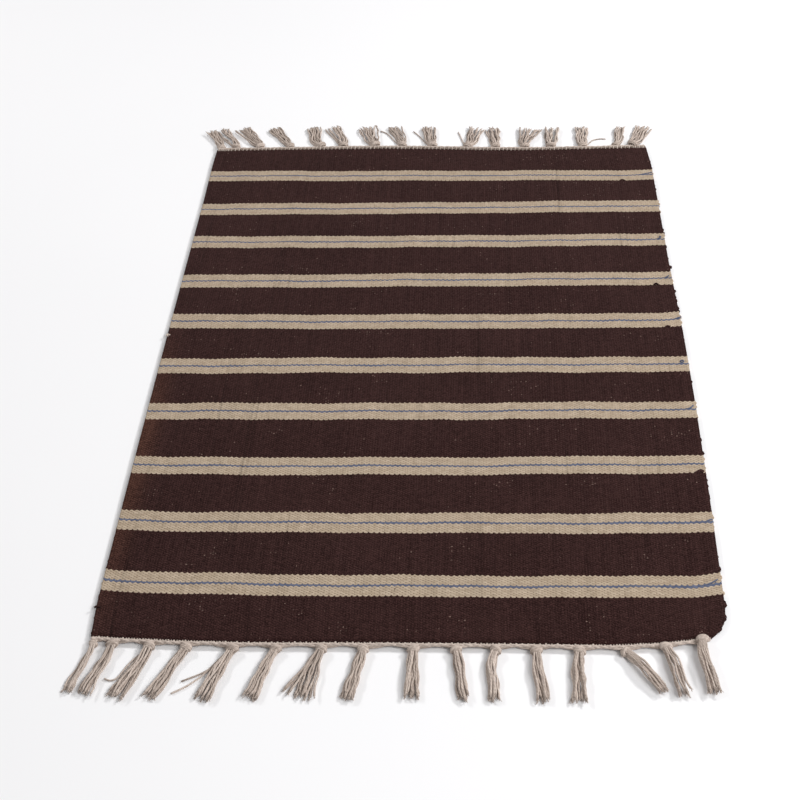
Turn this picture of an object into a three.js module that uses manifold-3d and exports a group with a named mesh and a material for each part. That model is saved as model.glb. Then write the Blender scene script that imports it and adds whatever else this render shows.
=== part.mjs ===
// Flat-woven striped rug with a knotted warp fringe at each end.
// Millimetres, +Z up, the long way of the rug along Y, the underside on Z = 0.
import * as THREE from 'three';
import { mergeVertices } from 'three/addons/utils/BufferGeometryUtils.js';
import Module from 'manifold-3d';

const wasm = await Module();
wasm.setup();

// The cloth: warp, and a layer of beaten weft over and under it.
const CLOTH_THICKNESS = 4;
const EDGE_ROUND = 1.2;
const EDGE_ROUND_STEPS = 2;
// The gap that keeps the heading strips apart from the cloth.
const SEAM_GAP = 0.3;
// Edges shorter than this, left where locks enter a knot, are closed up.
const WELD = 0.05;

// The heading strip of gathered warps, narrow between knots and broad at each.
const HEADING_HEIGHT = 4.6;
const HEADING_AT_KNOT = 5.4;
const HEADING_BY_KNOT = 3.8;
const HEADING_MID_SPAN = 2.8;
const BY_KNOT_SHARE = 0.22;

// The knots, overhand knots of about fourteen warps, each a short roll across
// its tassel.
const KNOT_WIDTH = 12.4;
const KNOT_BARREL = 8;
const KNOT_END = 4.6;
const KNOT_LENGTH = 9;
const KNOT_HEIGHT = 7.4;
const KNOT_OUT = 8.2;
const KNOT_SIDES = 8;

// The locks below a knot, about two warps each, in a lower and an upper layer.
const LOCK_WIDTH = 2.3;
const FLOOR_CLEARANCE = 0.1;
const LOWER_LOCKS = 4;
const UPPER_LOCKS = 3;
const LAYER_RISE = 2.75;
const ROOT_SPAN = 8.8;
const LEAST_TIP_SPAN = 11.4;
const LOCK_STEPS = 3;
const UPPER_LOCK_SHORT = 0.05;
const LOOSE_YARN_WIDTH = 1.5;
const LOOSE_YARN_STEPS = 7;

// The outline of the cloth from above: places along each edge, anticlockwise.
const nearEdge = [
  { x: -294, y: -450.5 },
  { x: -215, y: -454.4 },
  { x: -148, y: -456 },
  { x: -80, y: -455.2 },
  { x: 55, y: -454.8 },
  { x: 192, y: -455.6 },
  { x: 232, y: -452.8 },
  { x: 277, y: -446.5 },
];
const rightEdge = [
  { x: 285.5, y: -438 },
  { x: 293.9, y: -426.5 },
  { x: 296, y: -400 },
  { x: 299.3, y: -264 },
  { x: 301.8, y: -110 },
  { x: 302.3, y: 15 },
  { x: 300.2, y: 165 },
  { x: 299.6, y: 397 },
];
const farEdge = [
  { x: 296.5, y: 446 },
  { x: 217, y: 444 },
  { x: 140, y: 442.6 },
  { x: 72, y: 444.4 },
  { x: 0, y: 448.4 },
  { x: -73, y: 450.8 },
  { x: -217, y: 449 },
  { x: -300.5, y: 448.2 },
];
const leftEdge = [
  { x: -302.4, y: 407 },
  { x: -300.2, y: 310 },
  { x: -300.4, y: 0 },
  { x: -299.4, y: -250 },
  { x: -298, y: -410 },
];

// One row a tassel, from left to right: where its knot hangs, how far the locks
// reach beyond it, how far they lean sideways, the span of their tips, how far
// they bow sideways at half length, and the knot's size. Two knots at the right
// are drawn up close to the cloth, and their rows say how far out they lie.
const nearTassels = [
  { x: -289, reach: 58, lean: -11, span: 8, bow: -2, knot: 0.8 },
  { x: -272, reach: 59, lean: -12, span: 12, bow: 1, knot: 1 },
  { x: -237, reach: 60, lean: -20, span: 16, bow: 1, knot: 1 },
  { x: -202.5, reach: 58, lean: -23, span: 9, bow: -1, knot: 1.05 },
  { x: -159.5, reach: 60, lean: -20, span: 10.5, bow: -1, knot: 1.05 },
  { x: -119.5, reach: 58, lean: -17.5, span: 10.5, bow: -2, knot: 0.95 },
  { x: -77.5, reach: 57, lean: -16, span: 27, bow: -1, knot: 1 },
  { x: -39, reach: 58, lean: -11, span: 13, bow: 0, knot: 0.95 },
  { x: 7, reach: 57, lean: 2.5, span: 11, bow: -1, knot: 1 },
  { x: 44.5, reach: 59, lean: 5.5, span: 11, bow: -1, knot: 0.95 },
  { x: 82, reach: 58, lean: -1, span: 9, bow: -3, knot: 0.95 },
  { x: 120.5, reach: 59, lean: 3, span: 10, bow: -3, knot: 1 },
  { x: 158, reach: 59, lean: -3, span: 11, bow: -2, knot: 1 },
  { x: 199, reach: 47, lean: 30, span: 8, bow: 1, knot: 0.85 },
  { x: 236, reach: 57, lean: 12, span: 10, bow: 1, knot: 1, out: 5.8 },
  { x: 269.5, reach: 60, lean: 7, span: 8.5, bow: -2, knot: 1.1, out: 6.4 },
];
const farTassels = [
  { x: -294, reach: 50, lean: -21, span: 12, bow: 1, knot: 0.95 },
  { x: -273, reach: 55, lean: -25, span: 15, bow: 3, knot: 1.1 },
  { x: -239, reach: 56, lean: -30, span: 22, bow: 1, knot: 1.15 },
  { x: -197, reach: 56, lean: -27, span: 16, bow: 1, knot: 1.1 },
  { x: -153, reach: 57, lean: -15, span: 18, bow: -3, knot: 1.2 },
  { x: -122.5, reach: 56, lean: -18, span: 20, bow: 2, knot: 1.2 },
  { x: -77, reach: 55, lean: -14, span: 25, bow: -1, knot: 1.2 },
  { x: -40, reach: 55, lean: -12, span: 19, bow: 2, knot: 1.15 },
  { x: 2.5, reach: 55, lean: -7, span: 17, bow: -1, knot: 1.15 },
  { x: 51, reach: 54, lean: 12, span: 20, bow: 1, knot: 1.1 },
  { x: 90, reach: 55, lean: -4, span: 18, bow: 0, knot: 1.15 },
  { x: 130.5, reach: 54, lean: 9, span: 28, bow: -2, knot: 1.15 },
  { x: 166.5, reach: 55, lean: 3, span: 17, bow: 0, knot: 1.2 },
  { x: 210.5, reach: 55, lean: 1, span: 15, bow: -1, knot: 1.1 },
  { x: 256, reach: 53, lean: 10, span: 9, bow: 2, knot: 0.95 },
  { x: 279, reach: 53, lean: 20, span: 21, bow: 1, knot: 1.3 },
];

// Loose yarns: the tassel each leaves, counted from the left, and three places
// on its way, measured from that tassel's knot across and outwards.
const nearLooseYarns = [
  { tassel: 3, across1: -14.5, out1: 17, across2: -23, out2: 35, across3: -35, out3: 37 },
  { tassel: 5, across1: -10.5, out1: 10, across2: -21.5, out2: 25, across3: -42, out3: 37 },
];
const farLooseYarns = [
  { tassel: 8, across1: -9.5, out1: 12, across2: -22, out2: 36, across3: -32, out3: 45 },
  { tassel: 9, across1: -9.5, out1: 10, across2: -19, out2: 30, across3: -28, out3: 44 },
  { tassel: 10, across1: -5, out1: 10, across2: -8.5, out2: 25, across3: -13, out3: 44 },
  { tassel: 14, across1: 8.5, out1: 9, across2: 14, out2: 18, across3: 33, out3: 22 },
];

// The height of an edge line, given as places in order of x, above any x.
function edgeAt(places, x) {
  const last = places.length - 2;
  let i = 0;
  while (i < last && places[i + 1].x < x) {
    i += 1;
  }
  const from = places[i];
  const to = places[i + 1];
  return THREE.MathUtils.mapLinear(x, from.x, to.x, from.y, to.y);
}

function outlineShape(places) {
  return new THREE.Shape(places.map(({ x, y }) => new THREE.Vector2(x, y)));
}

function wovenField() {
  const outline = outlineShape([...nearEdge, ...rightEdge, ...farEdge, ...leftEdge]);
  const cloth = new THREE.ExtrudeGeometry(outline, {
    depth: CLOTH_THICKNESS - 2 * EDGE_ROUND,
    bevelThickness: EDGE_ROUND,
    bevelSize: EDGE_ROUND,
    bevelOffset: -EDGE_ROUND,
    bevelSegments: EDGE_ROUND_STEPS,
  });
  return cloth.translate(0, 0, EDGE_ROUND);
}

// The strip that follows an end of the cloth; side is -1 at the near end.
function headingStrip(edge, tassels, side) {
  const first = edge[0].x;
  const last = edge[edge.length - 1].x;
  const inner = edge.map(({ x, y }) => ({ x, y: y + side * SEAM_GAP }));
  const outer = [{ x: first, width: HEADING_MID_SPAN }];
  tassels.forEach(({ x }, i) => {
    outer.push({ x, width: HEADING_AT_KNOT });
    if (i + 1 < tassels.length) {
      const span = tassels[i + 1].x - x;
      outer.push({ x: x + span * BY_KNOT_SHARE, width: HEADING_BY_KNOT });
      outer.push({ x: x + span / 2, width: HEADING_MID_SPAN });
      outer.push({ x: x + span * (1 - BY_KNOT_SHARE), width: HEADING_BY_KNOT });
    }
  });
  outer.push({ x: last, width: HEADING_MID_SPAN });
  const border = outer.map(({ x, width }) => ({
    x,
    y: edgeAt(edge, x) + side * (SEAM_GAP + width),
  }));
  return new THREE.ExtrudeGeometry(outlineShape([...inner, ...border.reverse()]), {
    depth: HEADING_HEIGHT - FLOOR_CLEARANCE,
    bevelEnabled: false,
  }).translate(0, 0, FLOOR_CLEARANCE);
}

function knotCentre(edge, { x, knot, out = KNOT_OUT }, side) {
  const height = (KNOT_HEIGHT * knot) / 2 + FLOOR_CLEARANCE;
  return new THREE.Vector3(x, edgeAt(edge, x) + side * out, height);
}

function knotBody(centre, { knot }) {
  const profile = [
    new THREE.Vector2(0, -KNOT_WIDTH / 2),
    new THREE.Vector2(KNOT_END / 2, -KNOT_WIDTH / 2),
    new THREE.Vector2(KNOT_HEIGHT / 2, -KNOT_BARREL / 2),
    new THREE.Vector2(KNOT_HEIGHT / 2, KNOT_BARREL / 2),
    new THREE.Vector2(KNOT_END / 2, KNOT_WIDTH / 2),
    new THREE.Vector2(0, KNOT_WIDTH / 2),
  ];
  return new THREE.LatheGeometry(profile, KNOT_SIDES, Math.PI / KNOT_SIDES)
    .rotateZ(Math.PI / 2)
    .scale(knot, (knot * KNOT_LENGTH) / KNOT_HEIGHT, knot)
    .translate(centre.x, centre.y, centre.z);
}

// A four-sided lock or yarn swept along places, its sides upright and level.
function sweptYarn(places, width, steps) {
  const half = width / 2;
  const section = outlineShape([
    { x: -half, y: -half },
    { x: half, y: -half },
    { x: half, y: half },
    { x: -half, y: half },
  ]);
  return new THREE.ExtrudeGeometry(section, {
    steps,
    extrudePath: new THREE.CatmullRomCurve3(places),
  });
}

// One lock: place runs from -1 to 1 across the tassel, layer is 0 or 1.
function lock(centre, row, side, place, layer) {
  const level = FLOOR_CLEARANCE + LOCK_WIDTH / 2 + layer * LAYER_RISE;
  const reach = row.reach * (1 - layer * UPPER_LOCK_SHORT);
  const tipSpan = Math.max(row.span, LEAST_TIP_SPAN) - LOCK_WIDTH;
  const rootSpan = ROOT_SPAN * row.knot;
  const places = [0, 0.3, 0.65, 1].map((share) => {
    const turn = Math.PI * share;
    const along = new THREE.Vector2(
      row.lean + row.bow * Math.PI * Math.cos(turn),
      side * reach,
    ).normalize();
    const offset = (place * THREE.MathUtils.lerp(rootSpan, tipSpan, share)) / 2;
    return new THREE.Vector3(
      centre.x + row.lean * share + row.bow * Math.sin(turn) - along.y * offset,
      centre.y + side * reach * share + along.x * offset,
      level,
    );
  });
  return sweptYarn(places, LOCK_WIDTH, LOCK_STEPS);
}

function tasselLocks(centre, row, side) {
  const locks = [];
  for (let i = 0; i < LOWER_LOCKS; i += 1) {
    locks.push(lock(centre, row, side, (2 * i) / (LOWER_LOCKS - 1) - 1, 0));
  }
  for (let i = 0; i < UPPER_LOCKS; i += 1) {
    locks.push(lock(centre, row, side, (2 * i - UPPER_LOCKS + 1) / (LOWER_LOCKS - 1), 1));
  }
  return locks;
}

function looseYarn(centre, yarn, side) {
  const level = FLOOR_CLEARANCE + LOOSE_YARN_WIDTH / 2;
  const places = [
    { across: 0, out: 0 },
    { across: yarn.across1, out: yarn.out1 },
    { across: yarn.across2, out: yarn.out2 },
    { across: yarn.across3, out: yarn.out3 },
  ].map(({ across, out }) => (
    new THREE.Vector3(centre.x + across, centre.y + side * out, level)
  ));
  return sweptYarn(places, LOOSE_YARN_WIDTH, LOOSE_YARN_STEPS);
}

function asSolid(geometry) {
  const plain = geometry.clone();
  plain.deleteAttribute('normal');
  plain.deleteAttribute('uv');
  const welded = mergeVertices(plain);
  return new wasm.Manifold(new wasm.Mesh({
    numProp: 3,
    vertProperties: new Float32Array(welded.attributes.position.array),
    triVerts: new Uint32Array(welded.index.array),
  }));
}

function asGeometry(solid) {
  const { vertProperties, triVerts } = solid.getMesh();
  const geometry = new THREE.BufferGeometry();
  geometry.setAttribute('position', new THREE.BufferAttribute(vertProperties, 3));
  geometry.setIndex(new THREE.BufferAttribute(triVerts, 1));
  geometry.computeVertexNormals();
  return geometry;
}

function fringe(edge, tassels, looseYarns, side) {
  const pieces = [headingStrip(edge, tassels, side)];
  tassels.forEach((row) => {
    const centre = knotCentre(edge, row, side);
    pieces.push(knotBody(centre, row), ...tasselLocks(centre, row, side));
  });
  looseYarns.forEach((yarn) => {
    const centre = knotCentre(edge, tassels[yarn.tassel - 1], side);
    pieces.push(looseYarn(centre, yarn, side));
  });
  return asGeometry(wasm.Manifold.union(pieces.map(asSolid)).simplify(WELD));
}

function piece(name, geometry, colour) {
  const material = new THREE.MeshStandardMaterial({ color: colour, roughness: 0.95 });
  material.name = name;
  const mesh = new THREE.Mesh(geometry, material);
  mesh.name = name;
  return mesh;
}

const BROWN_WOOL = 0x3b2725;
const CREAM_COTTON = 0xae9f93;

const group = new THREE.Group();
group.name = 'striped_rug';
group.add(piece('woven_field', wovenField(), BROWN_WOOL));
group.add(piece('near_fringe', fringe(nearEdge, nearTassels, nearLooseYarns, -1), CREAM_COTTON));
group.add(piece('far_fringe', fringe([...farEdge].reverse(), farTassels, farLooseYarns, 1), CREAM_COTTON));

export default group;
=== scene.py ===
"""A flat-woven rug: broad brown bands, cream stripes with a blue line, a knotted fringe.

Lengths are in millimetres until a mesh is made. X runs along the wefts, Y along the warps.
"""

import math
from collections import namedtuple

import bpy
import numpy as np
from mathutils import Matrix


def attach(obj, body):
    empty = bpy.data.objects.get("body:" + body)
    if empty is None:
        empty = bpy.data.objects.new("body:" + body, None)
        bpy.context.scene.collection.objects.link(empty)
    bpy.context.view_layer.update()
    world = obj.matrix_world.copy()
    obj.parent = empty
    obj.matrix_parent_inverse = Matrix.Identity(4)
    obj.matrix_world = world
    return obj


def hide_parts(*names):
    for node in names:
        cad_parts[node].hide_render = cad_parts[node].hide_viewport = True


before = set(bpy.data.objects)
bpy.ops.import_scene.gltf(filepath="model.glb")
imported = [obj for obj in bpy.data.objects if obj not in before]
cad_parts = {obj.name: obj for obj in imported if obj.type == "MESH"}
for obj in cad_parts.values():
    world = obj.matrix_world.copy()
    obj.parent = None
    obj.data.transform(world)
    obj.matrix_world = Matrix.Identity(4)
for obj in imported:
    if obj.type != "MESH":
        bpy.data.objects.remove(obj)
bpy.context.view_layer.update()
rng = np.random.default_rng(7)

MM = 0.001
UP = (0, 0, 1)
CLOTH_THICKNESS = 4.0
HALF_WIDTH = 300.0
HALF_LENGTH = 450.0

# The two ends: the way along Y in which each fringe leaves the cloth.
NEAR = -1
FAR = 1

# The weave: warps across the rug, picks of weft along it, and the bands they are beaten to.
WARPS = 220
BROWN_PICKS = 38
CREAM_PICKS = 18
BLUE_PICKS = 2
STRIPES = 10
REPEAT = BROWN_PICKS + CREAM_PICKS
PICKS = STRIPES * REPEAT + BROWN_PICKS
FIRST_BLUE = BROWN_PICKS + (CREAM_PICKS - BLUE_PICKS) // 2
MIDDLE_BLUE = FIRST_BLUE + BLUE_PICKS // 2
WARP = 2 * HALF_WIDTH / WARPS
BROWN_WIDTH = 56.25
BLUE_WIDTH = 2.4
STRIPE_PITCH = (2 * HALF_LENGTH - BROWN_WIDTH) / STRIPES

# The picks at the near end, at the borders of each stripe and its blue line, and at the far end.
STRIPE_LINES = (BROWN_PICKS, FIRST_BLUE, FIRST_BLUE + BLUE_PICKS, REPEAT)
LINE_PICKS = [
    0,
    *(stripe * REPEAT + line for stripe in range(STRIPES) for line in STRIPE_LINES),
    PICKS,
]

# How each cream stripe lies, from the near end: its shift, its tilt, its sag, how far it turns up
# at the left and right selvedge, and its width.
Lie = namedtuple("Lie", "shift tilt sag left right width")
STRIPE_LIES = [
    Lie(-0.4, -0.7, -3.2, 4.5, 4.0, 28.0),
    Lie(-0.2, 0.1, -1.4, 2.5, 1.2, 28.6),
    Lie(0.8, 2.0, -1.4, 2.5, 0.5, 27.2),
    Lie(5.6, 1.2, -1.0, 0.5, 1.0, 28.0),
    Lie(1.2, 0.8, 0.8, 0.0, 0.5, 27.8),
    Lie(3.0, -0.4, -2.4, 1.5, 2.0, 28.4),
    Lie(3.2, 0.9, -1.6, 0.0, 0.0, 27.6),
    Lie(5.8, -0.2, -2.8, 0.0, 0.5, 26.6),
    Lie(-0.4, 0.4, -1.4, 0.5, 0.0, 27.4),
    Lie(-5.2, -3.4, 1.0, 2.0, 2.4, 25.6),
]
TURN_UP_REACH = 16.0

# The waves in a line of picks, as height and length, and the share of them that each border adds
# to those of its stripe. A stripe's starts have a row for each border and, last, one for itself.
WAVES = [(0.55, 30.0), (0.4, 13.0), (0.25, 6.0)]
BORDER_WAVES = 0.4
WAVE_STARTS = rng.uniform(0, math.tau, (STRIPES, len(STRIPE_LINES) + 1, len(WAVES)))

# The blue line is thicker at the right end of the two nearest stripes.
THICK_BLUE_STRIPES = 2
THICK_BLUE_FROM = 236.0
THICK_BLUE_RAMP = 12.0
THICK_BLUE = 1.1

# The outline from above, as x and y along each edge: left to right, then near to far.
NEAR_EDGE = [
    (-294, -450.5), (-215, -454.4), (-148, -456), (-80, -455.2),
    (55, -454.8), (192, -455.6), (232, -452.8), (277, -446.5),
]
FAR_EDGE = [
    (-298.8, 448.2), (-217, 449), (-73, 450.8), (0, 448.4),
    (72, 444.4), (140, 442.6), (217, 444), (296.5, 446),
]
LEFT_EDGE = [
    NEAR_EDGE[0], (-296.5, -410), (-297.6, -250), (-298.6, 0),
    (-298.5, 310), (-299.6, 407), FAR_EDGE[0],
]
RIGHT_EDGE = [
    (295.2, -446.5), (296, -400), (299.3, -264), (301.8, -110),
    (302.3, 15), (300.2, 165), (299.6, 397), FAR_EDGE[-1],
]
# The near right corner is drawn in: how far, at each y, and the width that gives way.
CORNER_CUT = [(18.2, -446.5), (12.4, -441), (7, -434.6), (3, -427), (0.9, -418), (0, -406)]
CORNER_REACH = 45.0

# The cloth's mesh: the picks in a row, the furrow between two ribs and its least share, how far a
# warp wanders and at how many marks along the rug, and the height of the underside.
PICKS_A_ROW = 4
FURROW = 0.45
LEAST_FURROW = 0.7
WANDER = 0.22
WANDER_MARKS = 9
UNDERSIDE = 0.15

# The cloth lies in slight swells: their height, a broad one and a slanted one with their lengths
# along X and Y, where the broad one starts, and the slanted one's share.
SWELL_HEIGHT = 0.3
BROAD_SWELL = (71.0, 93.0)
BROAD_SWELL_START = 1.3
SLANTED_SWELL = (37.0, 58.0)
SLANTED_SHARE = 0.5

# The selvedges: the share of the width at which each lies, its way outwards and how rough it is.
# Then their radius, height and mesh, the span of warps in their map, and the beads of turned weft.
Selvedge = namedtuple("Selvedge", "share outward roughness")
LEFT_SELVEDGE = Selvedge(0.0, -1, 0.4)
RIGHT_SELVEDGE = Selvedge(1.0, 1, 1.0)
SELVEDGE_RADIUS = 1.4
SELVEDGE_HEIGHT = 2.1
SELVEDGE_SIDES = 8
STEPS_A_TURN = 4
SELVEDGE_SPAN = 0.3
TURN_BEAD = 0.35
# Nubs, where the weft turns loosely: their number and sizes, their length in picks, and the share
# of them that thickens the selvedge, up to the thickest.
NUBS = 90
NUB_SIZES = (0.3, 1.3)
NUB_PICKS = 0.9
NUB_THICKENS = 0.3
THICKEST_NUB = 0.5

# The tassels from left to right: the knot's place and its distance from the cloth, how far the
# yarns reach beyond it, how far they lean, the span of their tips, how far they bow at half
# length, the knot's size, and how far the yarns arch above the floor.
Tassel = namedtuple("Tassel", "x out reach lean span bow knot arch")
NEAR_TASSELS = [
    Tassel(-290, 8.2, 57, -13, 9, 0.8, 0.72, 0),
    Tassel(-272, 8.2, 61, -14.5, 12, 1, 1, 0.5),
    Tassel(-237, 8.2, 62, -20, 16, 1, 1, 0.5),
    Tassel(-202.5, 8.2, 60, -23, 13, -1, 1.05, 0.5),
    Tassel(-159.5, 8.2, 60, -20, 14, -1, 1.05, 0.5),
    Tassel(-119.5, 8.2, 58, -17.5, 13, -1.5, 0.95, 0.5),
    Tassel(-77.5, 8.2, 57, -16, 27, -1, 1, 0),
    Tassel(-39, 8.2, 58, -12.5, 13, 0, 0.95, 0.5),
    Tassel(7, 8.2, 57, 0, 11, 0, 1, 1.5),
    Tassel(46, 8.2, 59, 6, 9, 0.5, 0.95, 1.5),
    Tassel(82, 8.2, 58, -2.5, 9, -3, 0.95, 1.5),
    Tassel(119, 8.2, 59, 4.5, 10, -0.5, 1, 1.5),
    Tassel(158, 8.2, 59, -3, 11, -1, 1, 1.5),
    Tassel(199, 8.2, 47, 30, 8, 1, 0.85, 4),
    Tassel(236, 5.5, 57, 12, 10, 1, 1, 3.5),
    Tassel(269.5, 3, 62, 4, 7.5, -1.5, 1, 4.5),
]
FAR_TASSELS = [
    Tassel(-294, 8.2, 50, -21, 12, 1, 0.95, 0),
    Tassel(-273, 8.2, 55, -25, 15, 3, 1.1, 0),
    Tassel(-239, 8.2, 56, -30, 22, 1, 1.15, 0),
    Tassel(-197, 8.2, 56, -27, 16, 1, 1.1, 0),
    Tassel(-153, 8.2, 57, -15, 18, -3, 1.2, 0),
    Tassel(-122.5, 8.2, 56, -18, 20, 2, 1.2, 0),
    Tassel(-77, 8.2, 55, -14, 25, -1, 1.2, 0),
    Tassel(-40, 8.2, 55, -12, 19, 2, 1.15, 0),
    Tassel(2.5, 8.2, 55, -7, 17, -1, 1.15, 0),
    Tassel(51, 8.2, 54, 12, 20, 1, 1.1, 0),
    Tassel(90, 8.2, 55, -4, 18, 0, 1.15, 0),
    Tassel(130.5, 8.2, 54, 9, 28, -2, 1.15, 0),
    Tassel(166.5, 8.2, 55, 3, 17, 0, 1.2, 0),
    Tassel(210.5, 8.2, 55, 1, 15, -1, 1.1, 0),
    Tassel(256, 8.2, 53, 10, 9, 2, 0.95, 0),
    Tassel(279, 8.2, 53, 20, 21, 1, 1.3, 0),
]

# Loose yarns: the tassel each leaves, counted from 0, and its way across and out from the knot.
Loose = namedtuple("Loose", "tassel way")
NEAR_LOOSE = [
    Loose(2, [(-14.5, 17), (-23, 35), (-29, 39), (-35, 37)]),
    Loose(4, [(-10.5, 10), (-21.5, 25), (-42, 37)]),
    Loose(4, [(-9.5, 11), (-24, 30), (-36, 42), (-49, 51)]),
]
FAR_LOOSE = [
    Loose(7, [(-9.5, 12), (-22, 36), (-32, 45)]),
    Loose(8, [(-9.5, 10), (-19, 30), (-28, 44)]),
    Loose(9, [(-5, 10), (-8.5, 25), (-13, 44)]),
    Loose(13, [(8.5, 9), (14, 18), (24, 22.5), (33, 22)]),
]

# The twined cord of the heading: its strands' radius, the round they twine in, its distance from
# the cloth, its height, the length of a twist and its mesh.
CORD_YARN = 1.25
CORD_ROUND = 0.5
CORD_OUT = 3.0
CORD_HEIGHT = 4.0
CORD_TWIST = 6 * WARP
CORD_STEP = 0.8
CORD_SIDES = 8
# How uneven the cord is: its twist in slow and quick waves, as size and length, the share of them
# by which it strays outwards, and its thickness, as share and length.
SLOW_TWIST = (0.5, 23.0)
QUICK_TWIST = (0.4, 9.1)
CORD_STRAY = 0.25
CORD_SLUB = (0.1, 4.3)

# A warp's way into the heading, as distances out from the cloth's edge and heights. Every second
# one makes a bead over the last picks: how far back it starts, how much that varies, its height,
# and the two places where it rises, out from its start and below its top.
UNDER_PICKS = (-0.8, 2.6)
BEAD_REACH = {NEAR: -0.55, FAR: 1.9}
BEAD_VARIES = 0.4
BEAD_HEIGHT = {NEAR: 4.4, FAR: 4.8}
BEAD_RISE = [(0.0, 1.6), (0.4, 0.4)]
BEAD_OUT = 0.8
UNDER_CORD = (1.8, 2.9)
# Its way along the heading: the warps from its knot beyond which it has one, shares of it, where
# it stops before the knot, its distance out and how that grows with each warp, and its height.
HEADING_WARPS = 2.5
HEADING_SHARES = (0.3, 0.6, 0.88)
HEADING_STOP = 2.0
HEADING_OUT = 3.0
HEADING_DRIFT = 0.42
HEADING_HEIGHT = 2.4
# Its way into the knot: the width of the mouth, the share of it that is used, and its place.
MOUTH = 4.0
MOUTH_SHARE = 0.7
MOUTH_BEFORE_KNOT = 3.2

# The knots: their half sizes and the height of their middle, the wraps with their yarn and mesh,
# how these narrow to each side and how far they sink in, and the one that crosses them.
KNOT_HALF_WIDTH = 6.0
KNOT_HALF_HEIGHT = 2.9
KNOT_HALF_LENGTH = 2.7
KNOT_CENTRE = 3.9
KNOT_WRAPS = 5
KNOT_YARN = 1.15
KNOT_STEPS = 18
KNOT_NARROWS = 0.62
KNOT_SUNK = 0.2
CROSSING_GIRTH = 1.06
CROSSING_SLANT = 3.2
# Ranges for the slant of a knot and for the width and height of each wrap, and its gap to the floor.
KNOT_SLANT = (0.3, 0.9)
WRAP_WIDTH = (0.96, 1.04)
WRAP_HEIGHT = (0.97, 1.03)
FLOOR_GAP = 0.05
# A knot nearer to the cloth than this lies up on its edge.
KNOT_CLEAR_OF_CLOTH = 6.0

# The yarns below a knot: their radius, its range, how it grows from step to step and a loose
# yarn's share of it, the extra warps at each selvedge, the layers they lie in on the floor and in
# the knot, their height at rest, and the tassel's span at its neck, below it and at its tips.
YARN = 0.95
YARN_RANGE = (0.92, 1.08)
YARN_OPENS = 0.004
LOOSE_YARN = 0.85
SELVEDGE_WARPS = 6
LAYERS = 3
LAYER = 1.3
KNOT_LAYER = 1.7
REST = 1.25 * YARN
NECK_SPAN = 8.6
BODY_SPAN = {NEAR: 10.4, FAR: 14.0}
NECK_SHARE = 0.3
TIP_SPREAD = 1.0
# Where along a strand its places are, the share in which it falls to the floor, where its arch
# stops, and its ripples: height, turn and how its phase differs from the sway's.
STRAND_SHARES = (0.0, 0.07, 0.14, 0.22, 0.31, 0.4, 0.5, 0.6, 0.7, 0.8, 0.9, 1.0)
FALL_SHARE = 0.24
ARCH_SHARE = 0.87
RIPPLE = 0.2
RIPPLE_TURN = 17
RIPPLE_PHASE = 3
# Ranges for a strand: its share of the tassel's reach, how far it and its tip stray across, and
# the turns and width of its sway. The sway is less in a tassel narrower than SWAY_SPAN, and grows
# to its full width over the first third.
STRAND_REACH = (0.87, 0.95)
STRAND_STRAY = 0.08
TIP_STRAY = 0.6
FARTHEST_TIP = 1.1
SWAY_TURNS = (1.0, 2.8)
SWAY = (0.3, 1.1)
SWAY_SPAN = 12
MOST_SWAY = 1.1
SWAY_GROWS = 3

# The fibres at a cut end: their number, ranges for their spread and length, where they leave the
# yarn, the share at which they bend, how they curl, rise and droop, and their radius.
FRAYED_FIBRES = 3
FIBRE_SPREAD = 0.2
FIBRE_LENGTHS = (1.8, 4.2)
FIBRE_ROOT = 2.5
FIBRE_ROOT_STRAY = 0.4
FIBRE_BEND = 0.4
FIBRE_CURL = 1.4
FIBRE_DROOP = (0, 0.1, -0.3)
FIBRE_REST = 0.6
FIBRE_RADII = (0.5, 0.26)
FIBRE_SIDES = 4

# Ends of weft that show on top of the cloth: the side each is measured from, its pick, and its
# way in from that side and up from that pick. Each starts sunk into the cloth.
Tail = namedtuple("Tail", "side pick way")
BLUE_TAILS = [
    Tail("right", MIDDLE_BLUE, [(17, -0.2), (9, 1.6), (3.5, 4.6)]),
    Tail("right", MIDDLE_BLUE + REPEAT, [(8, 0), (3.5, 1.4), (0.6, 2.6)]),
    Tail("right", MIDDLE_BLUE + 3 * REPEAT, [(12, -0.2), (7, 0.8), (4, 3.6), (2.4, 6)]),
    Tail(
        "right",
        MIDDLE_BLUE + 4 * REPEAT,
        [(12, 0), (7, 1.5), (5, 4), (7, 5.6), (9, 4), (8, 2.6)],
    ),
    Tail("right", MIDDLE_BLUE + 5 * REPEAT, [(7, 0), (2.5, 0.6), (-1.4, 1.2)]),
    Tail("right", MIDDLE_BLUE + 6 * REPEAT, [(9, -0.2), (5, 1.8), (3.6, 3.4)]),
    Tail("right", MIDDLE_BLUE + 7 * REPEAT, [(10, 0), (5.6, 1.6), (4.6, 4.4), (6.6, 4)]),
    Tail("right", MIDDLE_BLUE + 9 * REPEAT, [(22, -0.2), (11, 1.2), (1, 4)]),
]
BROWN_TAILS = [
    Tail("right", BROWN_PICKS + 2 * REPEAT, [(12, -1.2), (7.6, 1.4), (4.6, 2.6), (2, 0.4)]),
    Tail("right", BROWN_PICKS + 2 * REPEAT, [(9, -1), (5.6, 0.8), (2.6, -0.8)]),
    Tail("right", BROWN_PICKS + 5 * REPEAT, [(20, -1.2), (16.6, 0.5), (13.4, -1.2)]),
    Tail("right", BROWN_PICKS + 6 * REPEAT, [(24, -1.2), (21, 0.8), (18, -1.2)]),
    Tail("right", BROWN_PICKS + 9 * REPEAT, [(46, -1.2), (42.6, 0.6), (39, -1.2)]),
    Tail("left", 23, [(5, 0), (1, 0.4), (-1.6, -1.6)]),
]
CREAM_TAILS = [Tail("left", 28 + 5 * REPEAT, [(3.2, 0.4), (0.4, 1), (-0.8, -1.4), (1.4, -2.4)])]
STRAY_FIBRES = [Tail("left", BROWN_PICKS + 5, [(289, 3.6), (287.4, 1), (286.6, -2.4)])]
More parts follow.
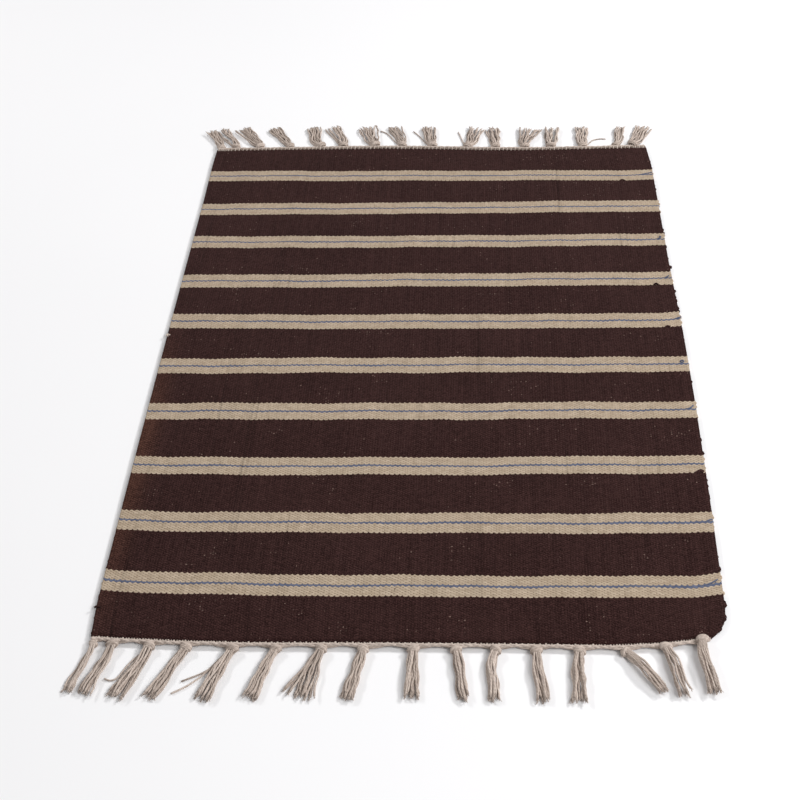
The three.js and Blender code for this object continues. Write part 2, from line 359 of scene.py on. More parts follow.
BLUE_TAIL_RADIUS = 0.75
BROWN_TAIL_RADIUS = 1.1
CREAM_TAIL_RADIUS = 0.9
STRAY_FIBRE_RADIUS = 0.17
TAIL_HEIGHT = 4.3
TAIL_SUNK = 1

# The studio, in metres: the floor, the light of the room, and soft lamps turned to the rug's
# middle, with their place, width and watts.
FLOOR_HALF_WIDTH = 30.0
ROOM_LIGHT = 0.33
Lamp = namedtuple("Lamp", "name place width watts")
LAMPS = [
    Lamp("left_lamp", (-2.4, 1.5, 1.9), 0.5, 34),
    Lamp("right_lamp", (2.6, 1.2, 1.9), 0.5, 74),
    Lamp("front_fill", (2.0, -1.6, 2.3), 1.8, 60),
]

# The photograph's view: the camera's place in metres, its heading, tilt and roll, and its lens.
CAMERA_PLACE = (0.067, -1.3635, 1.0355)
CAMERA_YAW = math.radians(-3.95)
CAMERA_PITCH = math.radians(39.25)
CAMERA_ROLL = math.radians(-2.53)
CAMERA_LENS = 66.6
CAMERA_SENSOR = 36


def colour(red, green, blue):
    return (red, green, blue, 1.0)


# Dyed and undyed yarn and the floor, each from dark to pale, and the painted shade in the gaps
# between floats.
DARK_BROWN = colour(0.0115, 0.0037, 0.0033)
PALE_BROWN = colour(0.0575, 0.0262, 0.0240)
DARK_WARM = colour(0.023, 0.0072, 0.005)
PALE_WARM = colour(0.115, 0.051, 0.036)
BROWN_GAP_SHADE = colour(0.008, 0.003, 0.0028)
DARK_CREAM = colour(0.325, 0.248, 0.175)
PALE_CREAM = colour(0.52, 0.42, 0.32)
CREAM_GAP_SHADE = colour(0.15, 0.107, 0.07)
DARK_BLUE = colour(0.072, 0.086, 0.138)
PALE_BLUE = colour(0.136, 0.152, 0.218)
BARE_WARP = colour(0.43, 0.31, 0.255)
DARK_COTTON = colour(0.29, 0.23, 0.194)
PALE_COTTON = colour(0.645, 0.548, 0.485)
DARK_FLOOR = colour(0.86, 0.855, 0.865)
PALE_FLOOR = colour(0.89, 0.885, 0.895)

# The brown turns lighter and warmer towards the left selvedge: over these warps, and between these
# picks.
WARM_WARPS = 11
WARM_BEGINS = (-60, 160)
WARM_ENDS = (200, 350)

# The floats of weft: how far slack yarn shifts them, where their sides round off, as shares of
# their half width, how deep the gaps are along the falling lines, with a little more in cream,
# along the rising ones and where both cross, the height below which the gaps are painted in
# shade, the relief in millimetres, and where the sides of a rib begin and end, over which the
# brown is painted darker in the furrows as shade.
FLOAT_SLACK = 0.36
FLOAT_SIDES = (0.45, 1.0)
FALL_DEPTH = 0.4
CREAM_DEEPER = 0.03
RISE_DEPTH = 0.3
CORNER_DEPTH = 0.25
GAP_SHADE_HEIGHT = 0.8
FLOAT_RELIEF = 0.5
RIB_SIDES = (0.22, 0.5)

# Specks of bare warp: their size, how strongly the faintest one shows and how much more others
# may, the share of crossings that show one, the noise in which they crowd, how many more there are
# in a crowd and on a loose pick, the share of loose picks and the warps that each runs over.
SPECK_SIZE = (0.01, 0.05)
FAINTEST_SPECK = 0.06
SPECK_RANGE = 0.8
SPECKS = 0.0037
CROWD = (0.55, 0.75)
CROWD_SPECKS = 0.16
LOOSE_PICK_SPECKS = 0.5
LOOSE_PICKS = 0.007
LOOSE_WARPS = 11

# The plies of a yarn: how many, the length of a turn, and the relief in millimetres. Then the
# seed of each yarn's tone.
PLIES = 2
PLY_TURN = 4.2
PLY_RELIEF = 0.25
TONE_SEED = 19.0

# The faint patches of the floor, to a metre.
FLOOR_PATCHES = 1.3


class Shade:
    """A value in a material's nodes; arithmetic on it adds Math nodes."""

    def __init__(self, paint, socket):
        self.paint = paint
        self.socket = socket

    def other(self, name):
        return Shade(self.paint, self.socket.node.outputs[name])

    def math(self, operation, *values):
        return self.paint.node("ShaderNodeMath", {"operation": operation}, dict(enumerate(values)))

    def __add__(self, other):
        return self.math("ADD", self, other)

    def __sub__(self, other):
        return self.math("SUBTRACT", self, other)

    def __rsub__(self, other):
        return self.math("SUBTRACT", other, self)

    def __mul__(self, other):
        return self.math("MULTIPLY", self, other)

    def __truediv__(self, other):
        return self.math("DIVIDE", self, other)

    def __mod__(self, other):
        return self.math("FLOORED_MODULO", self, other)

    def __gt__(self, other):
        return self.math("GREATER_THAN", self, other)

    def __lt__(self, other):
        return self.math("LESS_THAN", self, other)

    def __abs__(self):
        return self.math("ABSOLUTE", self)

    __radd__ = __add__
    __rmul__ = __mul__

    def floor(self):
        return self.math("FLOOR", self)

    def wave(self):
        return self.math("SINE", self)

    def fade(self, start, end):
        """0 before start, 1 after end, smooth between."""
        return self.paint.node(
            "ShaderNodeMapRange",
            {"interpolation_type": "SMOOTHSTEP"},
            {"Value": self, "From Min": start, "From Max": end},
        )


class Paint:
    """A material being made, around one Principled shader."""

    def __init__(self, name, surface):
        self.material = bpy.data.materials.new(name)
        self.material.use_nodes = True
        self.tree = self.material.node_tree
        self.shader = self.tree.nodes["Principled BSDF"]
        self.set(self.shader, surface)

    def set(self, node, sockets):
        for key, value in sockets.items():
            if isinstance(value, Shade):
                self.tree.links.new(value.socket, node.inputs[key])
            else:
                node.inputs[key].default_value = value

    def node(self, kind, settings, sockets):
        made = self.tree.nodes.new(kind)
        for name, value in settings.items():
            setattr(made, name, value)
        self.set(made, sockets)
        return Shade(self, made.outputs[0])

    def place(self, x, y):
        return self.node("ShaderNodeCombineXYZ", {}, {0: x, 1: y})

    def map_across(self, name):
        """The first value of a map; its other one is Y."""
        spot = self.node("ShaderNodeUVMap", {"uv_map": name}, {})
        return self.node("ShaderNodeSeparateXYZ", {}, {0: spot})

    def cloud(self, x, y, detail=1.0):
        """Smooth noise from about 0.2 to 0.8, one unit across."""
        return self.node(
            "ShaderNodeTexNoise",
            {"noise_dimensions": "2D"},
            {"Vector": self.place(x, y), "Scale": 1.0, "Detail": detail},
        )

    def chance(self, x, y):
        """A random number from 0 to 1 for each pair of x and y."""
        return self.node(
            "ShaderNodeTexWhiteNoise", {"noise_dimensions": "2D"}, {"Vector": self.place(x, y)}
        )

    def blend(self, share, first, second):
        """A colour from first to second; Mix's colour sockets are 6 and 7, its result 2."""
        mixed = self.node(
            "ShaderNodeMix", {"data_type": "RGBA"}, {0: share, 6: first, 7: second}
        )
        return Shade(self, mixed.socket.node.outputs[2])

    def relief(self, height, depth):
        return self.node("ShaderNodeBump", {}, {"Height": height, "Distance": depth * MM})


def warp_specks(paint, warp, pick, falling, rising):
    """How far undyed warp shows where four floats meet: in specks, and in rows on a loose pick."""
    fall_spot = (falling + 0.5).floor()
    rise_spot = (rising + 0.5).floor()
    fall_off = falling - fall_spot
    rise_off = rising - rise_spot
    dot = 1 - (fall_off * fall_off + rise_off * rise_off).fade(*SPECK_SIZE)
    sparse = paint.chance(fall_spot + 0.5, rise_spot + 0.5)
    crowd = paint.cloud(warp * 0.06, pick * 0.044, 2.0).fade(*CROWD)
    stretch = (warp / LOOSE_WARPS).floor()
    loose_pick = paint.chance(stretch, fall_spot - rise_spot + 0.25) < LOOSE_PICKS
    shows = sparse < crowd * CROWD_SPECKS + loose_pick * LOOSE_PICK_SPECKS + SPECKS
    gleam = paint.chance(rise_spot, fall_spot + 0.5)
    return shows * dot * (gleam * gleam * SPECK_RANGE + FAINTEST_SPECK)


def striped_cloth():
    """Weft-faced plain weave: floats over single warps, each set between its four neighbours."""
    paint = Paint(
        "striped_cloth",
        {
            "Roughness": 0.95,
            "Specular IOR Level": 0.06,
            "Sheen Weight": 0.038,
            "Sheen Roughness": 0.4,
            "Sheen Tint": colour(1.0, 0.7, 0.66),
        },
    )
    warp = paint.map_across("weave")
    pick = warp.other("Y")

    # Two sets of slanted lines part the floats; together they number each float's pick and rib.
    slack = (paint.cloud(warp * 0.8, pick * 0.8) - 0.5) * FLOAT_SLACK
    falling = (warp + pick + slack) / 2
    rising = (warp - pick + slack) / 2
    falls = falling.floor()
    rises = rising.floor()
    yarn = falls - rises
    rib = falls + rises
    beside = falling - falls - 0.5
    along = rising - rises - 0.5

    phase = yarn % REPEAT
    cream = phase > BROWN_PICKS - 0.5
    blue = abs(phase - (MIDDLE_BLUE - 0.5)) < BLUE_PICKS / 2

    # What varies: each float, the fibres, a rib along the rug, wide patches, the grain of the
    # surface, and the thickness of each pick. The factors are clouds to a warp and to a pick.
    luck = paint.chance(falls, rises)
    fibre = paint.cloud(warp * 2.3, pick * 4.4, 2.0)
    streak = paint.cloud(rib * 3.71, pick * 0.022)
    patch = paint.cloud(warp * 0.025, pick * 0.015, 3.0)
    grain = paint.cloud(warp * 2.1, pick * 1.1)
    thick_and_thin = paint.cloud(warp * 0.15, yarn * 5.3)

    # Painted shade: the brown is darker in the furrows between ribs than on their crests, by an
    # amount that varies from pick to pick.
    painted_rib_shade = abs(warp % 1 - 0.5).fade(*RIB_SIDES) * thick_and_thin
    brown_tone = luck * 0.3 + streak * 0.33 + patch * 0.25 + grain * 1.5
    brown_tone = brown_tone + fibre * 0.7 + painted_rib_shade * 0.75 - 1.16
    left_side = 1 - warp.fade(0, WARM_WARPS)
    warm_side = left_side * pick.fade(*WARM_BEGINS) * (1 - pick.fade(*WARM_ENDS))
    dark_brown = paint.blend(warm_side, DARK_BROWN, DARK_WARM)
    brown = paint.blend(brown_tone, dark_brown, paint.blend(warm_side, PALE_BROWN, PALE_WARM))

    cream_tone = luck * 0.45 + thick_and_thin * 0.5 + fibre * 0.5 - 0.225
    undyed = paint.blend(cream_tone, DARK_CREAM, PALE_CREAM)
    blue_yarn = paint.blend(luck * 0.6 + fibre * 0.4, DARK_BLUE, PALE_BLUE)
    dyed = paint.blend(cream, brown, paint.blend(blue, undyed, blue_yarn))

    # Painted shade: the gaps between floats are darkened towards these colours where a float's
    # height is low.
    painted_gap_shade = paint.blend(cream, BROWN_GAP_SHADE, paint.blend(blue, CREAM_GAP_SHADE, DARK_BLUE))
    fall_gap = (abs(beside) * 2).fade(*FLOAT_SIDES)
    rise_gap = (abs(along) * 2).fade(*FLOAT_SIDES)
    height = 1 - fall_gap * (cream * CREAM_DEEPER + FALL_DEPTH)
    height = height - rise_gap * RISE_DEPTH - fall_gap * rise_gap * CORNER_DEPTH
    woven = paint.blend(height.fade(0.0, GAP_SHADE_HEIGHT), painted_gap_shade, dyed)

    specks = warp_specks(paint, warp, pick, falling, rising) * (1 - cream)
    fuzzy_height = height + luck * 0.15 + fibre * 0.12
    paint.set(
        paint.shader,
        {
            "Base Color": paint.blend(specks, woven, BARE_WARP),
            "Normal": paint.relief(fuzzy_height, FLOAT_RELIEF),
        },
    )
    return paint.material


def plied_yarn(name, dark, pale):
    """Plied yarn; turn counts yarns and goes round each, run is the length along it."""
    paint = Paint(name, {"Roughness": 0.92, "Specular IOR Level": 0.12})
    turn = paint.map_across("yarn")
    run = turn.other("Y")
    number = turn.floor()
    plies = ((turn * PLIES + run / PLY_TURN) * math.tau).wave() * 0.5 + 0.5
    slub = paint.cloud(number * 7.7, run * 0.12, 2.0)
    # Painted shade: the plies' wave also darkens the colour in the grooves between plies, where
    # their relief is low.
    tone = paint.chance(number, TONE_SEED) * 0.5 + slub * 0.6 + plies * 0.25 - 0.175
    fuzz = paint.cloud(turn * 9.0, run * 1.7, 2.0)
    paint.set(
        paint.shader,
        {
            "Base Color": paint.blend(tone, dark, pale),
            "Normal": paint.relief(plies * 0.6 + fuzz * 0.5, PLY_RELIEF),
        },
    )
    return paint.material


def pale_floor():
    """A pale floor in faint patches."""
    paint = Paint("pale_floor", {"Roughness": 0.85, "Specular IOR Level": 0.15})
    position = paint.node(
        "ShaderNodeSeparateXYZ", {}, {0: paint.node("ShaderNodeNewGeometry", {}, {})}
    )
    patch = paint.cloud(position * FLOOR_PATCHES, position.other("Y") * FLOOR_PATCHES, 3.0)
    paint.set(paint.shader, {"Base Color": paint.blend(patch, DARK_FLOOR, PALE_FLOOR)})
    return paint.material


def linked(name, mesh, material):
    """Puts a mesh into the scene, smoothly shaded."""
    mesh.polygons.foreach_set("use_smooth", np.ones(len(mesh.polygons), bool))
    mesh.materials.append(material)
    piece = bpy.data.objects.new(name, mesh)
    bpy.context.scene.collection.objects.link(piece)
    return piece


def edge_at(edge, x):
    """The y of an end edge at x."""
    places = np.array(edge, float)
    return np.interp(x, places[:, 0], places[:, 1])


def side_at(edge, y):
    """The x of a side edge at y."""
    places = np.array(edge, float)
    return np.interp(y, places[:, 1], places[:, 0])


def waves(x, starts):
    """How far a line of picks waves over x."""
    return sum(size * np.sin(x / length + start) for (size, length), start in zip(WAVES, starts))


def pick_lines(x):
    """How the ends, the stripes' borders and the blue lines, listed in LINE_PICKS, run over x."""
    reach = x / HALF_WIDTH
    lines = [edge_at(NEAR_EDGE, x)]
    for stripe, lie in enumerate(STRIPE_LIES):
        middle = BROWN_WIDTH / 2 - HALF_LENGTH + (stripe + 0.5) * STRIPE_PITCH
        middle += lie.shift + lie.tilt * reach + lie.sag * (1 - reach**2)
        middle += lie.left * np.exp(-(HALF_WIDTH + x) / TURN_UP_REACH)
        middle += lie.right * np.exp(-(HALF_WIDTH - x) / TURN_UP_REACH)
        middle += waves(x, WAVE_STARTS[stripe, -1])
        blue = np.full(x.shape, BLUE_WIDTH)
        if stripe < THICK_BLUE_STRIPES:
            blue += THICK_BLUE * np.clip((x - THICK_BLUE_FROM) / THICK_BLUE_RAMP, 0, 1)
        offsets = (-lie.width / 2, -blue / 2, blue / 2, lie.width / 2)
        for offset, starts in zip(offsets, WAVE_STARTS[stripe]):
            lines.append(middle + offset + BORDER_WAVES * waves(x, starts))
    return np.array(lines + [edge_at(FAR_EDGE, x)])


def weave_plan(shares, picks):
    """Places in the rug's outline of warps, as shares of its width, and picks."""
    lines = pick_lines((2 * shares - 1) * HALF_WIDTH)
    y = np.stack([np.interp(picks, LINE_PICKS, column) for column in lines.T], axis=1)
    left, right = side_at(LEFT_EDGE, y), side_at(RIGHT_EDGE, y)
    x = left + shares * (right - left)
    gives_way = np.clip(1 - (right - x) / CORNER_REACH, 0, 1)
    return np.stack([x - side_at(CORNER_CUT, y) * gives_way**2, y], axis=-1)


def map_weave(mesh, weave):
    """Gives each corner its place in the weave: warps across, picks along."""
    corners = np.empty(len(mesh.loops), np.int32)
    mesh.loops.foreach_get("vertex_index", corners)
    layer = mesh.uv_layers.new(name="weave")
    layer.data.foreach_set("uv", weave[corners].astype(np.float32).ravel())


def closed_below(grid, border, under):
    """Faces of the rim, from the border of a grid to the points under it, and of the underside."""
    rim = np.stack([under, np.roll(under, -1), np.roll(border, -1), border], axis=-1)
    sole = np.zeros(grid.size, int)
    sole[border] = under
    sole = sole.reshape(grid.shape)
    left, right = sole[1:-1, 0], sole[1:-1, -1]
    rows = np.stack([left[:-1], left[1:], right[1:], right[:-1]], axis=-1)
    near_row = np.concatenate([sole[0, ::-1], sole[1, [0, -1]]])
    far_row = np.concatenate([sole[-1], sole[-2, [-1, 0]]])
    return rim.tolist() + rows.tolist() + [near_row.tolist(), far_row.tolist()]


def woven_field(material):
    """The cloth: a rib over each warp with a furrow beside it, closed below."""
    warps = np.arange(2 * WARPS + 1) / 2
    picks = np.union1d(np.arange(0, PICKS, PICKS_A_ROW), LINE_PICKS)
    plan = weave_plan(warps / WARPS, picks)
    marks = np.linspace(0, PICKS, WANDER_MARKS)
    shift = rng.normal(0, WANDER, (len(warps), 1))
    wander = shift + rng.normal(0, WANDER, (len(warps), WANDER_MARKS))
    wander[[0, -1]] = 0
    plan[..., 0] += np.stack([np.interp(picks, marks, line) for line in wander], axis=1)

    x, y = plan[..., 0], plan[..., 1]
    broad = np.sin(x / BROAD_SWELL[0] + BROAD_SWELL_START) * np.sin(y / BROAD_SWELL[1])
    slanted = np.sin(x / SLANTED_SWELL[0] + y / SLANTED_SWELL[1]) * SLANTED_SHARE
    furrow = FURROW * (np.arange(len(warps)) % 2) * rng.uniform(LEAST_FURROW, 1.0, x.shape)
    height = CLOTH_THICKNESS + SWELL_HEIGHT * (broad + slanted) - furrow
    upper = np.dstack([plan, height]).reshape(-1, 3)

    grid = np.arange(len(upper)).reshape(x.shape)
    squares = np.stack([grid[:-1, :-1], grid[:-1, 1:], grid[1:, 1:], grid[1:, :-1]], axis=-1)
    border = np.concatenate([grid[0, :-1], grid[:-1, -1], grid[-1, :0:-1], grid[:0:-1, 0]])
    lower = upper[border] * (1, 1, 0) + (0, 0, UNDERSIDE)
    under = len(upper) + np.arange(len(border))

    mesh = bpy.data.meshes.new("woven_cloth")
    faces = squares.reshape(-1, 4).tolist() + closed_below(grid, border, under)
    mesh.from_pydata((np.concatenate([upper, lower]) * MM).tolist(), [], faces)
    weave = np.stack(np.broadcast_arrays(warps, picks[:, None]), axis=-1).reshape(-1, 2)
    map_weave(mesh, np.concatenate([weave, weave[border]]))
    return linked("woven_cloth", mesh, material)


def swept(path, radius, sides, facing):
    """Rings of points round a path, and the distance run to each."""
    steps = np.linalg.norm(np.diff(path, axis=0), axis=1)
    run = np.concatenate([[0.0], np.cumsum(steps)])
    ahead = np.gradient(path, axis=0)
    ahead /= np.linalg.norm(ahead, axis=1, keepdims=True)
    beside = np.cross(np.broadcast_to(facing, path.shape), ahead)
    beside /= np.linalg.norm(beside, axis=1, keepdims=True)
    above = np.cross(ahead, beside)
    angle = np.arange(sides) / sides * math.tau
    spoke = np.cos(angle)[:, None] * beside[:, None] + np.sin(angle)[:, None] * above[:, None]
    return path[:, None] + np.reshape(radius, (-1, 1, 1)) * spoke, run


def ring_faces(rings, sides, first):
    """Faces between rings of points, counted from first, with a cap at each end."""
    grid = first + np.arange(rings * sides).reshape(rings, sides)
    turned = np.roll(grid, -1, axis=1)
    quads = np.stack([grid[:-1], turned[:-1], turned[1:], grid[1:]], axis=-1).reshape(-1, 4)
    return quads.tolist() + [grid[0, ::-1].tolist(), grid[-1].tolist()]


def selvedges(material):
    """The outermost warps at each side, with the weft turned round them in beads and nubs."""
    points, faces, weave = [], [], []
    rings = PICKS // 2 * STEPS_A_TURN + 1
    picks = np.linspace(0, PICKS, rings)
    bead = TURN_BEAD * np.abs(np.sin(picks * math.pi / 2))
    angle = np.arange(SELVEDGE_SIDES) / SELVEDGE_SIDES * math.tau
    for selvedge in (LEFT_SELVEDGE, RIGHT_SELVEDGE):
        line = weave_plan(np.array([selvedge.share]), picks)[:, 0]
        centres = rng.uniform(0, PICKS, NUBS)
        sizes = selvedge.roughness * rng.uniform(*NUB_SIZES, NUBS) ** 2
        nubs = np.zeros(rings)
        for centre, size in zip(centres, sizes):
            nubs += size * np.exp(-(((picks - centre) / NUB_PICKS) ** 2))
        out = line[:, 0] - selvedge.outward * (SELVEDGE_RADIUS - nubs)
        path = np.column_stack([out, line[:, 1], np.full(rings, SELVEDGE_HEIGHT)])
        radius = SELVEDGE_RADIUS + bead + NUB_THICKENS * np.minimum(nubs, THICKEST_NUB)
        rounds, _ = swept(path, radius, SELVEDGE_SIDES, UP)
        column = selvedge.share * (WARPS - 1) + 0.5 + SELVEDGE_SPAN * np.sin(angle)
        spots = np.broadcast_arrays(column, picks[:, None])
        weave.append(np.stack(spots, axis=-1).reshape(-1, 2))
        faces += ring_faces(rings, SELVEDGE_SIDES, sum(map(len, points)))
        points.append(rounds.reshape(-1, 3))
    mesh = bpy.data.meshes.new("selvedges")
    mesh.from_pydata((np.concatenate(points) * MM).tolist(), [], faces)
    map_weave(mesh, np.concatenate(weave))
    return linked("selvedges", mesh, material)


class Yarns:
    """Round yarns gathered into one mesh, each numbered in its map."""

    # A turn ends this much of a side short of 1, so its whole part stays the yarn's number.
    TURN_STOP = 0.01

    def __init__(self):
        self.points, self.faces, self.corners = [], [], []
        self.count = self.number = 0

    def lay(self, path, radius, sides=6, facing=UP):
        """Adds a yarn along a path; its map has its number and turn across, its length along."""
        path = np.asarray(path, float)
        radius = np.broadcast_to(radius, len(path))
        rounds, run = swept(path, radius, sides, facing)
        self.faces += ring_faces(len(path), sides, self.count)
        turn = self.number + np.arange(sides + 1) / (sides + self.TURN_STOP)
        start = np.broadcast_to(turn[:-1], (len(path) - 1, sides))
        end = np.broadcast_to(turn[1:], (len(path) - 1, sides))
        back = np.broadcast_to(run[:-1, None], start.shape)
        front = np.broadcast_to(run[1:, None], start.shape)
        quads = np.stack([start, back, end, back, end, front, start, front], axis=-1)
        self.corners += [
            quads.reshape(-1, 2),
            np.column_stack([turn[-2::-1], np.full(sides, run[0])]),
            np.column_stack([turn[:-1], np.full(sides, run[-1])]),
        ]
        self.points.append(rounds.reshape(-1, 3))
        self.count += len(path) * sides
        self.number += 1

    def piece(self, name, material):
        mesh = bpy.data.meshes.new(name)
        mesh.from_pydata((np.concatenate(self.points) * MM).tolist(), [], self.faces)
        layer = mesh.uv_layers.new(name="yarn")
        layer.data.foreach_set("uv", np.concatenate(self.corners).astype(np.float32).ravel())
        return linked(name, mesh, material)


def eased(places, steps):
    """A smooth path through places, with steps to each stretch."""
    way = np.asarray(places, float)
    way = np.concatenate([[2 * way[0] - way[1]], way, [2 * way[-1] - way[-2]]])
    share = (np.arange(steps) / steps)[None, :, None]
    before, start, end, after = (way[first : len(way) - 3 + first, None] for first in range(4))
    curve = 2 * start + (end - before) * share
    curve += (2 * before - 5 * start + 4 * end - after) * share**2
    curve += (3 * start - before - 3 * end + after) * share**3
    return np.concatenate([curve.reshape(-1, 3) / 2, way[-2:-1]])


def smooth(share):
    """Eases from 0 to 1 as share goes from 0 to 1."""
    share = min(max(share, 0.0), 1.0)
    return share * share * (3 - 2 * share)


def heading_cord(yarns, edge, side):
    """Two strands of cotton twined along the last pick, from one corner to the other."""
    x = np.arange(edge[0][0] + CORD_YARN, edge[-1][0] - CORD_YARN, CORD_STEP)
    slow = SLOW_TWIST[0] * np.sin(x / SLOW_TWIST[1] + side)
    easing = slow + QUICK_TWIST[0] * np.sin(x / QUICK_TWIST[1])
    for strand in range(2):
        turn = math.tau * x / CORD_TWIST + math.pi * strand + easing
        out = CORD_OUT + CORD_ROUND * np.sin(turn) + CORD_STRAY * easing
        height = CORD_HEIGHT + CORD_ROUND * np.cos(turn)
        path = np.column_stack([x, edge_at(edge, x) + side * out, height])
        slub = 1 + CORD_SLUB[0] * np.sin(x / CORD_SLUB[1] + strand)
        yarns.lay(path, CORD_YARN * slub, sides=CORD_SIDES)


def heading_way(edge, x, tassel, side, level, over):
    """A warp from over or under the last picks, below the cord and along the heading to its knot."""
    towards = math.copysign(1, tassel.x - x)
    distance = abs(tassel.x - x)

    def at(place, out, height):
        return (place, edge_at(edge, place) + side * out, height)

    reach = rng.uniform(-BEAD_VARIES, BEAD_VARIES) + BEAD_REACH[side]
    top = BEAD_HEIGHT[side]
    way = [at(x, *UNDER_PICKS)]
    if over:
        way = [at(x, out - reach, top - below) for out, below in BEAD_RISE]
        way.append(at(x, BEAD_OUT, top))
    way.append(at(x, *UNDER_CORD))
    if distance > HEADING_WARPS * WARP:
        for share in HEADING_SHARES:
            travelled = share * (distance - HEADING_STOP)
            out = HEADING_OUT + HEADING_DRIFT * travelled / WARP
            way.append(at(x + towards * travelled, out, HEADING_HEIGHT + LAYER * level))
    mouth = tassel.x - towards * min(distance, MOUTH) * MOUTH_SHARE
    way.append(at(mouth, tassel.out - MOUTH_BEFORE_KNOT, KNOT_CENTRE))
    return way


def tassel_axis(knot, tassel, side, reach, share):
    """Where a tassel's middle runs, bowed most in the half by its knot, and the way across it."""
    turn = math.pi * share
    bow = tassel.bow * (math.sin(turn) + 0.5 * math.sin(2 * turn))
    bend = tassel.bow * math.pi * (math.cos(turn) + math.cos(2 * turn))
    middle = (knot[0] + tassel.lean * share + bow, knot[1] + side * reach * share)
    ahead = np.array([tassel.lean + bend, side * reach])
    ahead /= np.linalg.norm(ahead)
    return np.array(middle), np.array([-ahead[1], ahead[0]]) * -side


def strand_way(knot, tassel, side, place, layer):
    """A warp from the middle of its knot to its cut end on the floor."""
    reach = tassel.reach * rng.uniform(*STRAND_REACH)
    place = place + rng.normal(0, STRAND_STRAY)
    tip_place = np.clip(place + rng.normal(0, TIP_STRAY), -FARTHEST_TIP, FARTHEST_TIP)
    phase = rng.uniform(0, math.tau)
    pace = rng.uniform(*SWAY_TURNS) * math.tau
    sway = rng.uniform(*SWAY) * min(tassel.span / SWAY_SPAN, MOST_SWAY)

    neck, body = NECK_SPAN * tassel.knot, BODY_SPAN[side] * tassel.knot
    spread = max(tassel.span + TIP_SPREAD, body) - body
    start = knot[2] + (layer - 1) * KNOT_LAYER
    rest = REST + layer * LAYER
    way = []
    for share in STRAND_SHARES:
        middle, beside = tassel_axis(knot, tassel, side, reach, share)
        span = neck + (body - neck) * smooth(share / NECK_SHARE) + spread * share
        offset = (place + (tip_place - place) * share) * (span / 2 - YARN)
        offset += sway * min(share * SWAY_GROWS, 1) * math.sin(phase + pace * share)
        fall = smooth(share / FALL_SHARE)
        height = start + (rest - start) * fall
        height += tassel.arch * math.sin(math.pi * min(share, ARCH_SHARE))
        height += RIPPLE * math.sin(phase * RIPPLE_PHASE + share * RIPPLE_TURN) * fall
        spot = middle + beside * offset
        way.append((spot[0], spot[1], max(height, REST)))
    return way


def fray(yarns, strand):
    """A cut end opened into a few thin fibres."""
    tip = strand[-1]
    ahead = strand[-1] - strand[-3]
    ahead = ahead / np.linalg.norm(ahead)
    beside = np.array([-ahead[1], ahead[0], 0.0])
    for _ in range(FRAYED_FIBRES):
        spread = rng.normal(0, FIBRE_SPREAD)
        length = rng.uniform(*FIBRE_LENGTHS)
        stray = rng.uniform(-FIBRE_ROOT_STRAY, FIBRE_ROOT_STRAY)
        start = tip - ahead * FIBRE_ROOT + beside * stray
        bend = tip + ahead * length * FIBRE_BEND + beside * spread * length * FIBRE_BEND
        end = tip + ahead * length + beside * spread * length * FIBRE_CURL
        way = np.array([start, bend, end])
        way[:, 2] = np.maximum(way[:, 2] + FIBRE_DROOP, FIBRE_REST)
        path = eased(way, steps=2)
        yarns.lay(path, np.linspace(*FIBRE_RADII, len(path)), sides=FIBRE_SIDES)


def wrap_knot(yarns, knot, tassel, side):
    """An overhand knot: yarns laid side by side round the neck of the tassel, one across them."""
    middle, beside = tassel_axis(knot, tassel, side, tassel.reach, 0.0)
    ahead = np.array([-beside[1], beside[0]]) * side
    lay = rng.uniform(*KNOT_SLANT) * rng.choice([-1, 1])
    angle = np.linspace(0, math.tau, KNOT_STEPS + 1)
    places = np.linspace(-1, 1, KNOT_WRAPS)
    wraps = [(place, math.sqrt(1 - (KNOT_NARROWS * place) ** 2), lay) for place in places]
    wraps.append((0.0, CROSSING_GIRTH, lay * CROSSING_SLANT))
    for place, fullness, slant in wraps:
        girth = tassel.knot * fullness
        wide = (KNOT_HALF_WIDTH - KNOT_YARN) * girth * rng.uniform(*WRAP_WIDTH)
        high = KNOT_HALF_HEIGHT * girth * rng.uniform(*WRAP_HEIGHT) - KNOT_SUNK
        forward = KNOT_HALF_LENGTH * tassel.knot * place + slant * np.cos(angle)
        plan = middle + np.cos(angle)[:, None] * wide * beside + forward[:, None] * ahead
        height = np.maximum(knot[2] + np.sin(angle) * high, KNOT_YARN + FLOOR_GAP)
        yarns.lay(np.column_stack([plan, height]), KNOT_YARN, facing=(ahead[0], ahead[1], 0))


def knotted_fringe(name, edge, end_pick, tassels, loose, side, material):
    """All the warps of one end: under the cord, along the heading, through a knot, to a cut tip."""
    yarns = Yarns()
    heading_cord(yarns, edge, side)

    # Each warp, and each extra one at the selvedges, goes to the nearest knot.
    extra = np.arange(1, SELVEDGE_WARPS + 1)
    ends = np.sort(np.concatenate([extra, np.arange(WARPS) + 0.5, WARPS - extra]))
    warps = weave_plan(ends / WARPS, np.array([end_pick]))[0]
    owner = np.abs(warps[:, :1] - [tassel.x for tassel in tassels]).argmin(axis=1)
    for number, tassel in enumerate(tassels):
        lifted = max(0.0, KNOT_CLEAR_OF_CLOTH - tassel.out)
        knot_y = edge_at(edge, tassel.x) + side * tassel.out
        knot = np.array([tassel.x, knot_y, KNOT_CENTRE * tassel.knot + lifted])
        mine = np.flatnonzero(owner == number)
        for strand, warp in enumerate(mine):
            over, level = warp % 2 == 1, warp % 4 // 2
            place, layer = (2 * strand + 1) / len(mine) - 1, strand % LAYERS
            way = heading_way(edge, warps[warp, 0], tassel, side, level, over)
            way += strand_way(knot, tassel, side, place, layer)
            path = eased(way, steps=2)
            opens = 1 + YARN_OPENS * np.arange(len(path))
            yarns.lay(path, YARN * rng.uniform(*YARN_RANGE) * opens)
            fray(yarns, path)
        wrap_knot(yarns, knot, tassel, side)
        for yarn in (yarn for yarn in loose if yarn.tassel == number):
            way = [(knot[0], knot[1], YARN * 2)]
            way += [(knot[0] + across, knot[1] + side * out, YARN) for across, out in yarn.way]
            yarns.lay(eased(way, steps=6), YARN * LOOSE_YARN)
    return yarns.piece(name, material)


